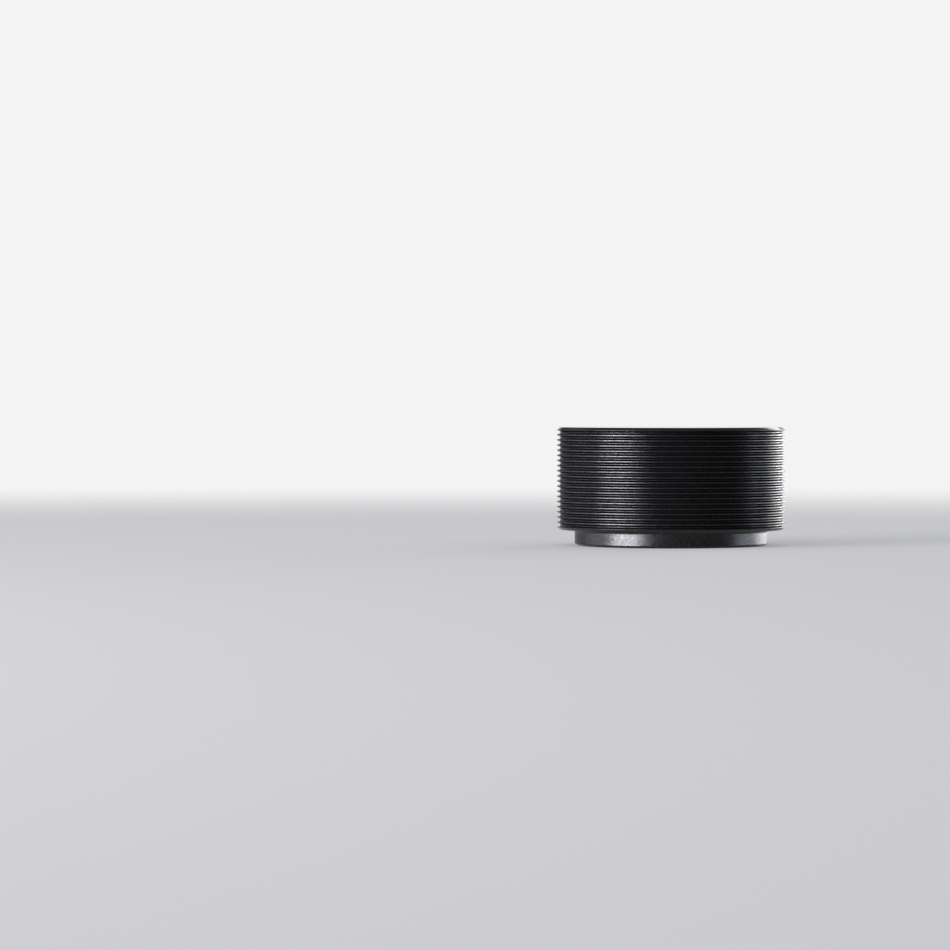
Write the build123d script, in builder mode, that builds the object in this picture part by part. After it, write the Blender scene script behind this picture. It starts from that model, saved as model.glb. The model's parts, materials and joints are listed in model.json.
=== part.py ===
from build123d import *

import os
from math import radians, tan

# Record weight clamp: one turned metal piece, a short ribbed barrel on a narrower plain foot.
# It drops over a spindle, and the flat underside of the foot bears on what lies below.
# Millimetres, +Z up. The origin is on the axis, in the plane of the foot's underside.

# Barrel
barrel_diameter = 44.5
barrel_height = 20.0

# Ribs: V-grooves one above another round the barrel
groove_pitch = 1.0
groove_depth = 0.6

# Foot under the barrel
foot_diameter = 37.6
foot_height = 3.1

# Broken outer edges
barrel_chamfer = 0.5
foot_chamfer = 0.4

# Blind bore for a spindle, drilled from below
spindle_diameter = 7.15
spindle_clearance = 0.075
mouth_chamfer = 0.8
drill_point_angle = 118.0
roof_thickness = 4.0

# Heights above the foot's underside, and radii
barrel_top = foot_height + barrel_height
barrel_radius = barrel_diameter / 2
foot_radius = foot_diameter / 2
bore_radius = spindle_diameter / 2 + spindle_clearance

# The grooves are centred on the barrel and leave about half a rib at each end for the broken edge
groove_count = round(barrel_height / groove_pitch) - 1
first_crest = foot_height + (barrel_height - groove_count * groove_pitch) / 2

# The drill's point ends under the roof, and its full diameter ends one cone height lower
drill_tip = barrel_top - roof_thickness
bore_end = drill_tip - bore_radius / tan(radians(drill_point_angle / 2))

# Ribbed side in section, from the lowest crest to the highest: crests and roots by turns
rib_outline = []
for half_pitch in range(2 * groove_count + 1):
    cut = groove_depth if half_pitch % 2 else 0
    rib_outline.append((barrel_radius - cut, first_crest + half_pitch * groove_pitch / 2))

with BuildPart() as weight_body:
    # Turned outside: foot and ribbed barrel
    with BuildSketch(Plane.XZ) as outside:
        with BuildLine():
            Polyline(
                (0, 0),
                (foot_radius - foot_chamfer, 0),
                (foot_radius, foot_chamfer),
                (foot_radius, foot_height),
                (barrel_radius - barrel_chamfer, foot_height),
                *rib_outline,
                (barrel_radius - barrel_chamfer, barrel_top),
                (0, barrel_top),
                close=True,
            )
        make_face()
    revolve(axis=Axis.Z)

    # Spindle bore: chamfered mouth, straight wall and the cone that the drill's point leaves
    with BuildSketch(Plane.XZ) as bore:
        with BuildLine():
            Polyline(
                (0, 0),
                (bore_radius + mouth_chamfer, 0),
                (bore_radius, mouth_chamfer),
                (bore_radius, bore_end),
                (0, drill_tip),
                close=True,
            )
        make_face()
    revolve(axis=Axis.Z, mode=Mode.SUBTRACT)

weight_body.part.label = "weight_body"

os.makedirs("parts", exist_ok=True)
export_step(weight_body.part, "parts/weight_body.step")
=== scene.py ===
import json
from math import atan, cos, pi, radians, sin, tan

import bpy
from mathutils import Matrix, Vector


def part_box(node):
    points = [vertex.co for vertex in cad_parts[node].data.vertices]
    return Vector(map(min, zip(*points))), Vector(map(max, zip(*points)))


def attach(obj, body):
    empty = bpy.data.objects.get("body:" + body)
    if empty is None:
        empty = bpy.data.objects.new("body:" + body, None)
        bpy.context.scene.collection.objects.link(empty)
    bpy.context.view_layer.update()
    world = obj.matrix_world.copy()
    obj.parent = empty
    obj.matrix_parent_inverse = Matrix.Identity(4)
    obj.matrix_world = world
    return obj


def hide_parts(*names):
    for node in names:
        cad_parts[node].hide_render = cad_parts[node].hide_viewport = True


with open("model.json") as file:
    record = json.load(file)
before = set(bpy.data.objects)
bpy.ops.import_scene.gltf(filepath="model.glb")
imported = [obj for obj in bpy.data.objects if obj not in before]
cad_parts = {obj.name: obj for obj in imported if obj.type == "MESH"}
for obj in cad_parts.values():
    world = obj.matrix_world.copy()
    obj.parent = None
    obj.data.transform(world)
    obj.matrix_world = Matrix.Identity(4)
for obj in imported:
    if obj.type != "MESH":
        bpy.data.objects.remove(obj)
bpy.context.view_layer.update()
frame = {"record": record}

MM = 0.001

# Sizes that the frame gives
NODE = "weight_body"
low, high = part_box(NODE)
barrel_radius = min(-low.x, -low.y, high.x, high.y)
top = high.z
bore = next(m for m in frame["record"]["mounts"] if m["name"] == "spindle_bore")
bore_radius = bore["dims"]["r_mm"] * MM
bore_wall = bore["dims"]["length_mm"] * MM
bore_mouth = bore["pos_m"][2] - bore_wall / 2

# Sizes of the turned form
foot_radius = 18.8 * MM
foot_height = 3.1 * MM
barrel_chamfer = 0.5 * MM
foot_chamfer = 0.4 * MM
foot_fillet = 0.5 * MM
drill_point_angle = radians(118.0)

# Ribs: a narrow land on each crest, sloping flanks and a narrow flat in each root
groove_pitch = 1.0 * MM
groove_depth = 0.6 * MM
crest_land = 0.22 * MM
root_flat = 0.08 * MM

# Small roundings that blasting leaves on the turned edges
crest_round = 0.05 * MM
root_round = 0.025 * MM
edge_round = 0.06 * MM

# Fineness of the mesh
FEWEST_STEPS = 3
STEP_LENGTH = 0.06 * MM
SEGMENTS = 256
LARGE_FACES_DECIDE = 100

# Floor: solid round the object and towards the camera, then fading into the pale background
floor_solid = 0.40
floor_reach = 0.80
floor_shift = 0.25
floor_lift = 0.3
background_colour = (0.9, 0.9, 0.9, 1)

# Soft panels: power for each unit of radiance and area, and share of width times height that is filled
PANEL_POWER = 4
PANEL_FILL = {"RECTANGLE": 1, "ELLIPSE": pi / 4}
panel_white = (0.97, 0.97, 1.0)


# Shape

def rounded(before, corner, after, size):
    """Points of a corner's rounding, which starts and ends the given distance from the corner."""
    start = corner + (before - corner).normalized() * size
    end = corner + (after - corner).normalized() * size
    steps = max(FEWEST_STEPS, round(size / STEP_LENGTH))
    points = []
    for step in range(steps + 1):
        t = step / steps
        points.append(start * (1 - t) ** 2 + corner * (2 * t * (1 - t)) + end * t ** 2)
    return points


def outline_of(corners):
    """Half section from corners given as (radius, height, rounding)."""
    points = [Vector((r, z)) for r, z, size in corners]
    outline = []
    for i, (r, z, size) in enumerate(corners):
        if size:
            outline += rounded(points[i - 1], points[i], points[i + 1], size)
        else:
            outline.append(points[i])
    return outline


def body_corners():
    """Corners of the turned body's half section, from the middle of its top round to the bore's tip."""
    corners = [
        (0, top, 0),
        (barrel_radius - barrel_chamfer, top, edge_round),
        (barrel_radius, top - barrel_chamfer, crest_round),
    ]
    grooves = round((top - foot_height) / groove_pitch) - 1
    mouth = (groove_pitch - crest_land) / 2
    root = barrel_radius - groove_depth
    for i in range(grooves):
        z = top - (i + 1) * groove_pitch
        corners += [
            (barrel_radius, z + mouth, crest_round),
            (root, z + root_flat / 2, root_round),
            (root, z - root_flat / 2, root_round),
            (barrel_radius, z - mouth, crest_round),
        ]
    corners += [
        (barrel_radius, foot_height + barrel_chamfer, crest_round),
        (barrel_radius - barrel_chamfer, foot_height, edge_round),
        (foot_radius, foot_height, foot_fillet),
        (foot_radius, foot_chamfer, edge_round),
        (foot_radius - foot_chamfer, 0, edge_round),
        (bore_radius + bore_mouth, 0, edge_round),
        (bore_radius, bore_mouth, edge_round),
        (bore_radius, bore_mouth + bore_wall, edge_round),
        (0, bore_mouth + bore_wall + bore_radius / tan(drill_point_angle / 2), 0),
    ]
    return corners


def lathe(name, outline):
    """Closed mesh of an outline that starts and ends on the axis, turned round it."""
    rings = outline[1:-1]
    turns = [2 * pi * k / SEGMENTS for k in range(SEGMENTS)]
    verts = [(p.x * cos(a), p.x * sin(a), p.y) for p in rings for a in turns]
    first_pole = len(verts)
    last_pole = first_pole + 1
    verts += [(0, 0, outline[0].y), (0, 0, outline[-1].y)]
    last_ring = (len(rings) - 1) * SEGMENTS
    faces = []
    for k in range(SEGMENTS):
        n = (k + 1) % SEGMENTS
        faces.append((first_pole, k, n))
        for base in range(0, last_ring, SEGMENTS):
            faces.append((base + k, base + SEGMENTS + k, base + SEGMENTS + n, base + n))
        faces.append((last_ring + k, last_pole, last_ring + n))
    mesh = bpy.data.meshes.new(name)
    mesh.from_pydata(verts, [], faces)
    mesh.shade_smooth()
    piece = bpy.data.objects.new(name, mesh)
    bpy.context.scene.collection.objects.link(piece)
    weighted = piece.modifiers.new("flat faces stay flat", "WEIGHTED_NORMAL")
    weighted.weight = LARGE_FACES_DECIDE
    return piece


# Nodes that the materials and the world share

def new_material(name):
    material = bpy.data.materials.new(name)
    material.use_nodes = True
    nodes = material.node_tree.nodes
    return material, nodes, material.node_tree.links, nodes["Principled BSDF"]


def noise(nodes, links, coordinates, scale, detail):
    texture = nodes.new("ShaderNodeTexNoise")
    texture.inputs["Scale"].default_value = scale
    texture.inputs["Detail"].default_value = detail
    links.new(coordinates, texture.inputs["Vector"])
    return texture.outputs["Fac"]


def spread(nodes, links, value, lowest, highest):
    """The value, from 0 to 1, spread over a new range."""
    node = nodes.new("ShaderNodeMapRange")
    node.inputs["To Min"].default_value = lowest
    node.inputs["To Max"].default_value = highest
    links.new(value, node.inputs["Value"])
    return node.outputs["Result"]


def ramp(nodes, links, value, start, end, lowest, highest):
    """A level that rises smoothly from lowest to highest as the value goes from start to end."""
    node = nodes.new("ShaderNodeMapRange")
    node.interpolation_type = "SMOOTHSTEP"
    node.inputs["From Min"].default_value = start
    node.inputs["From Max"].default_value = end
    node.inputs["To Min"].default_value = lowest
    node.inputs["To Max"].default_value = highest
    links.new(value, node.inputs["Value"])
    return node.outputs["Result"]


def combined(nodes, links, operation, first, second):
    """Result of a math operation on two values."""
    node = nodes.new("ShaderNodeMath")
    node.operation = operation
    for value, socket in zip((first, second), node.inputs):
        if isinstance(value, (int, float)):
            socket.default_value = value
        else:
            links.new(value, socket)
    return node.outputs["Value"]


def largest(nodes, links, first, *others):
    """The largest of several values."""
    for other in others:
        first = combined(nodes, links, "MAXIMUM", first, other)
    return first


def blended(nodes, links, share, first, second):
    """Colour that goes from the first to the second as the share goes from 0 to 1."""
    node = nodes.new("ShaderNodeMix")
    node.data_type = "RGBA"
    factor, colour_a, colour_b, result = node.inputs[0], node.inputs[6], node.inputs[7], node.outputs[2]
    colour_a.default_value = first
    colour_b.default_value = second
    links.new(share, factor)
    return result


def mixed(nodes, links, share, first, second):
    """First shader, with the given share of the second."""
    node = nodes.new("ShaderNodeMixShader")
    for value, socket in zip((share, first, second), node.inputs):
        links.new(value, socket)
    return node.outputs["Shader"]


def bumped(nodes, links, height, depth, strength):
    """Normal of a surface whose height, from 0 to 1, spans the given depth."""
    bump = nodes.new("ShaderNodeBump")
    bump.inputs["Distance"].default_value = depth
    links.new(strength, bump.inputs["Strength"])
    links.new(height, bump.inputs["Height"])
    return bump.outputs["Normal"]


# Materials

def satin_share(nodes, links):
    """Share of the satin that is left: all of it on upright walls, little on other faces at a slant."""
    direction = nodes.new("ShaderNodeSeparateXYZ")
    links.new(nodes.new("ShaderNodeNewGeometry").outputs["Normal"], direction.inputs["Vector"])
    flatness = combined(nodes, links, "MULTIPLY", direction.outputs["Z"], direction.outputs["Z"])
    sloping = ramp(nodes, links, flatness, start=0.05, end=0.4, lowest=0, highest=1)
    slant = nodes.new("ShaderNodeLayerWeight").outputs["Facing"]
    gloss = ramp(nodes, links, slant, start=0.2, end=0.9, lowest=0, highest=0.9)
    return combined(nodes, links, "SUBTRACT", 1, combined(nodes, links, "MULTIPLY", gloss, sloping))


def anodised_material():
    """Aluminium, blasted with fine beads and anodised black: satin, with a fine grain."""
    darker = (0.0025, 0.0025, 0.0028, 1)
    lighter = (0.0045, 0.0045, 0.005, 1)
    middle_level = 0.5
    dimple_depth = 0.022 * MM
    material, nodes, links, shader = new_material("black_anodised")
    shader.inputs["IOR"].default_value = 1.4
    where = nodes.new("ShaderNodeTexCoord").outputs["Object"]
    satin = satin_share(nodes, links)

    cloud = noise(nodes, links, where, scale=220, detail=3)
    links.new(blended(nodes, links, cloud, darker, lighter), shader.inputs["Base Color"])

    grain = noise(nodes, links, where, scale=12000, detail=2)
    matt = spread(nodes, links, grain, lowest=0.29, highest=0.35)
    links.new(combined(nodes, links, "MULTIPLY", matt, satin), shader.inputs["Roughness"])

    dimples = noise(nodes, links, where, scale=5000, detail=2)
    glitter = spread(nodes, links, dimples, lowest=-1, highest=1)
    sparkle = combined(nodes, links, "MULTIPLY", glitter, satin)
    level = combined(nodes, links, "ADD", sparkle, middle_level)
    links.new(level, shader.inputs["Specular IOR Level"])
    links.new(bumped(nodes, links, dimples, dimple_depth, satin), shader.inputs["Normal"])
    return material


def floor_material():
    """Pale matt floor that fades into the background far from the object, and is clear from below."""
    material, nodes, links, shader = new_material("pale_floor")
    shader.inputs["Base Color"].default_value = (0.85, 0.85, 0.85, 1)
    shader.inputs["Specular IOR Level"].default_value = 0

    # The camera and reflections see it a little nearer to the background's colour
    glow = nodes.new("ShaderNodeEmission")
    glow.inputs["Color"].default_value = background_colour
    path = nodes.new("ShaderNodeLightPath").outputs
    seen = largest(nodes, links, path["Is Camera Ray"], path["Is Glossy Ray"], path["Is Transmission Ray"])
    lift = combined(nodes, links, "MULTIPLY", seen, floor_lift)
    pale = mixed(nodes, links, lift, shader.outputs["BSDF"], glow.outputs["Emission"])

    where = nodes.new("ShaderNodeTexCoord").outputs["Object"]
    distance = nodes.new("ShaderNodeVectorMath")
    distance.operation = "LENGTH"
    links.new(where, distance.inputs[0])
    fade = ramp(nodes, links, distance.outputs["Value"], floor_solid, floor_reach, lowest=0, highest=1)
    from_below = nodes.new("ShaderNodeNewGeometry").outputs["Backfacing"]
    hidden = largest(nodes, links, fade, from_below)
    clear = nodes.new("ShaderNodeBsdfTransparent")
    surface = mixed(nodes, links, hidden, pale, clear.outputs["BSDF"])
    links.new(surface, nodes["Material Output"].inputs["Surface"])
    return material


# Object

weight = lathe("turned_body", outline_of(body_corners()))
weight.data.materials.append(anodised_material())
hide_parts(NODE)
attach(weight, "root")


# Stage

def facing(azimuth, elevation):
    """Direction seen from the object. Azimuth is from the camera's side, positive to its right."""
    a, e = radians(azimuth), radians(elevation)
    return Vector((sin(a) * cos(e), -cos(a) * cos(e), sin(e)))


def add_floor():
    bpy.ops.mesh.primitive_circle_add(vertices=96, radius=floor_reach, fill_type="NGON")
    floor = bpy.context.object
    floor.location.y = -floor_shift
    floor.name = "floor"
    floor.data.materials.append(floor_material())


def add_world():
    """Dim soft light from above and below. The camera, and reflections of the rear, see a pale background."""
    world = bpy.data.worlds.new("studio")
    bpy.context.scene.world = world
    world.use_nodes = True
    nodes, links = world.node_tree.nodes, world.node_tree.links
    direction = nodes.new("ShaderNodeTexCoord").outputs["Generated"]

    def towards(axis, outer, inner, lowest, highest):
        """A level that rises from lowest, outer degrees away from the axis, to highest at inner degrees."""
        nearness = nodes.new("ShaderNodeVectorMath")
        nearness.operation = "DOT_PRODUCT"
        nearness.inputs[1].default_value = axis
        links.new(direction, nearness.inputs[0])
        start, end = cos(radians(outer)), cos(radians(inner))
        return ramp(nodes, links, nearness.outputs["Value"], start, end, lowest, highest)

    dome = nodes["Background"]
    dome.inputs["Color"].default_value = (0.9, 0.92, 1.0, 1)
    above = towards((0, 0, 1), outer=80, inner=52, lowest=0.02, highest=0.4)
    below = towards((0, 0, -1), outer=75, inner=45, lowest=0, highest=0.6)
    links.new(largest(nodes, links, above, below), dome.inputs["Strength"])
    pale = nodes.new("ShaderNodeBackground")
    pale.inputs["Color"].default_value = background_colour

    path = nodes.new("ShaderNodeLightPath").outputs
    behind = towards(facing(azimuth=158, elevation=0), outer=45, inner=30, lowest=0, highest=1)
    reflected = combined(nodes, links, "MULTIPLY", path["Is Glossy Ray"], behind)
    shown = largest(nodes, links, path["Is Camera Ray"], reflected, path["Is Transmission Ray"])
    sky = mixed(nodes, links, shown, dome.outputs["Background"], pale.outputs["Background"])
    links.new(sky, nodes["World Output"].inputs["Surface"])


def add_softbox(name, shape, azimuth, elevation, distance, width, height, radiance, colour):
    """Soft panel that faces the middle of the object."""
    aim = Vector((0, 0, top / 2))
    away = facing(azimuth, elevation)
    lamp = bpy.data.lights.new(name, "AREA")
    lamp.shape = shape
    lamp.size = width
    lamp.size_y = height
    lamp.color = colour
    lamp.energy = radiance * PANEL_POWER * PANEL_FILL[shape] * width * height
    panel = bpy.data.objects.new(name, lamp)
    panel.location = aim + away * distance
    panel.rotation_euler = (-away).to_track_quat("-Z", "Y").to_euler()
    panel.visible_camera = False
    bpy.context.scene.collection.objects.link(panel)


def add_lamps():
    """Four low panels, which light the wall and hardly the top, and a dim one higher up behind."""
    add_softbox(
        "key", "RECTANGLE", azimuth=-54.5, elevation=2.5, distance=0.9,
        width=0.56, height=0.12, radiance=84.0, colour=(0.95, 0.93, 1.0),
    )
    add_softbox(
        "left_wall", "RECTANGLE", azimuth=-100, elevation=1.5, distance=1.0,
        width=0.55, height=0.16, radiance=5.0, colour=(0.85, 0.88, 1.0),
    )
    add_softbox(
        "right_fill", "RECTANGLE", azimuth=96, elevation=1.5, distance=0.9,
        width=0.28, height=0.14, radiance=15.0, colour=(0.78, 0.83, 1.0),
    )
    add_softbox(
        "rim", "ELLIPSE", azimuth=137, elevation=1.5, distance=1.0,
        width=0.80, height=0.19, radiance=13.37, colour=panel_white,
    )
    add_softbox(
        "glint", "ELLIPSE", azimuth=155, elevation=25, distance=1.0,
        width=0.30, height=0.30, radiance=2.55, colour=panel_white,
    )


def add_camera():
    """Camera at the photograph's place: almost level with the top, with the object right of the middle."""
    image = 950
    axis_column = 671.0
    horizon_row = 392.0
    base_row = 545.1
    pixel = 0.1955 * MM
    distance = 0.86
    focal = distance / pixel
    camera = bpy.data.cameras.new("camera")
    camera.sensor_width = 36.0
    camera.lens = camera.sensor_width * focal / image
    view = bpy.data.objects.new("camera", camera)
    view.location = (0, -distance, (base_row - horizon_row) * pixel)
    tilt = atan((image / 2 - horizon_row) / focal)
    turn = atan((axis_column - image / 2) / focal)
    view.rotation_euler = (pi / 2 - tilt, 0, turn)
    bpy.context.scene.collection.objects.link(view)
    bpy.context.scene.camera = view


add_floor()
add_world()
add_lamps()
add_camera()
bpy.context.scene.view_settings.view_transform = "Standard"
